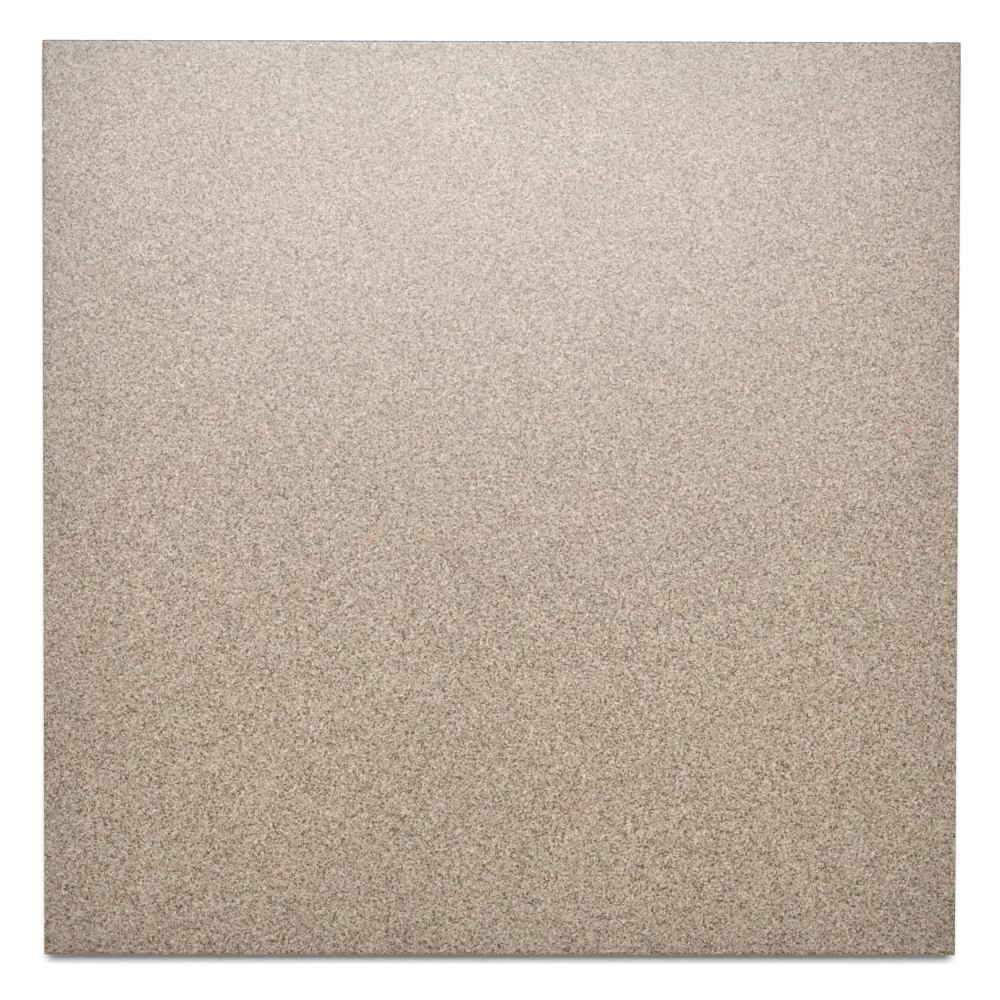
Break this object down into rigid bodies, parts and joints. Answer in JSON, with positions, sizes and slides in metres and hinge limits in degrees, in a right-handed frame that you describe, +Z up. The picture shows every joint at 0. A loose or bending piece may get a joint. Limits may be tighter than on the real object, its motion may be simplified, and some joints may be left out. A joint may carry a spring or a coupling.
{
  "type": "granite stamping slab",
  "caption": "Square granite slab with a flat honed working face and eased edges, standing on stick-on rubber feet; a heavy base for leather stamping, tooling and skiving.",
  "frame": {"origin": "centre of the footprint, on the plane that the feet stand on", "axes": "+Z up out of the working face, +X to the right and +Y away from the user, both along the slab's sides"},
  "size_m": [0.3048, 0.3048, 0.0362],
  "materials": {
    "granite": "honed face, sawn sides, fine grain",
    "foot_rubber": "matt moulded",
    "foam_tape": "matt foam"
  },
  "bodies": {
    "root": {"slab": "granite", "foot_front_left": "foot_rubber", "foot_front_right": "foot_rubber", "foot_back_right": "foot_rubber", "foot_back_left": "foot_rubber", "foot_tape_front_left": "foam_tape", "foot_tape_front_right": "foam_tape", "foot_tape_back_right": "foam_tape", "foot_tape_back_left": "foam_tape"}
  },
  "joints": []
}
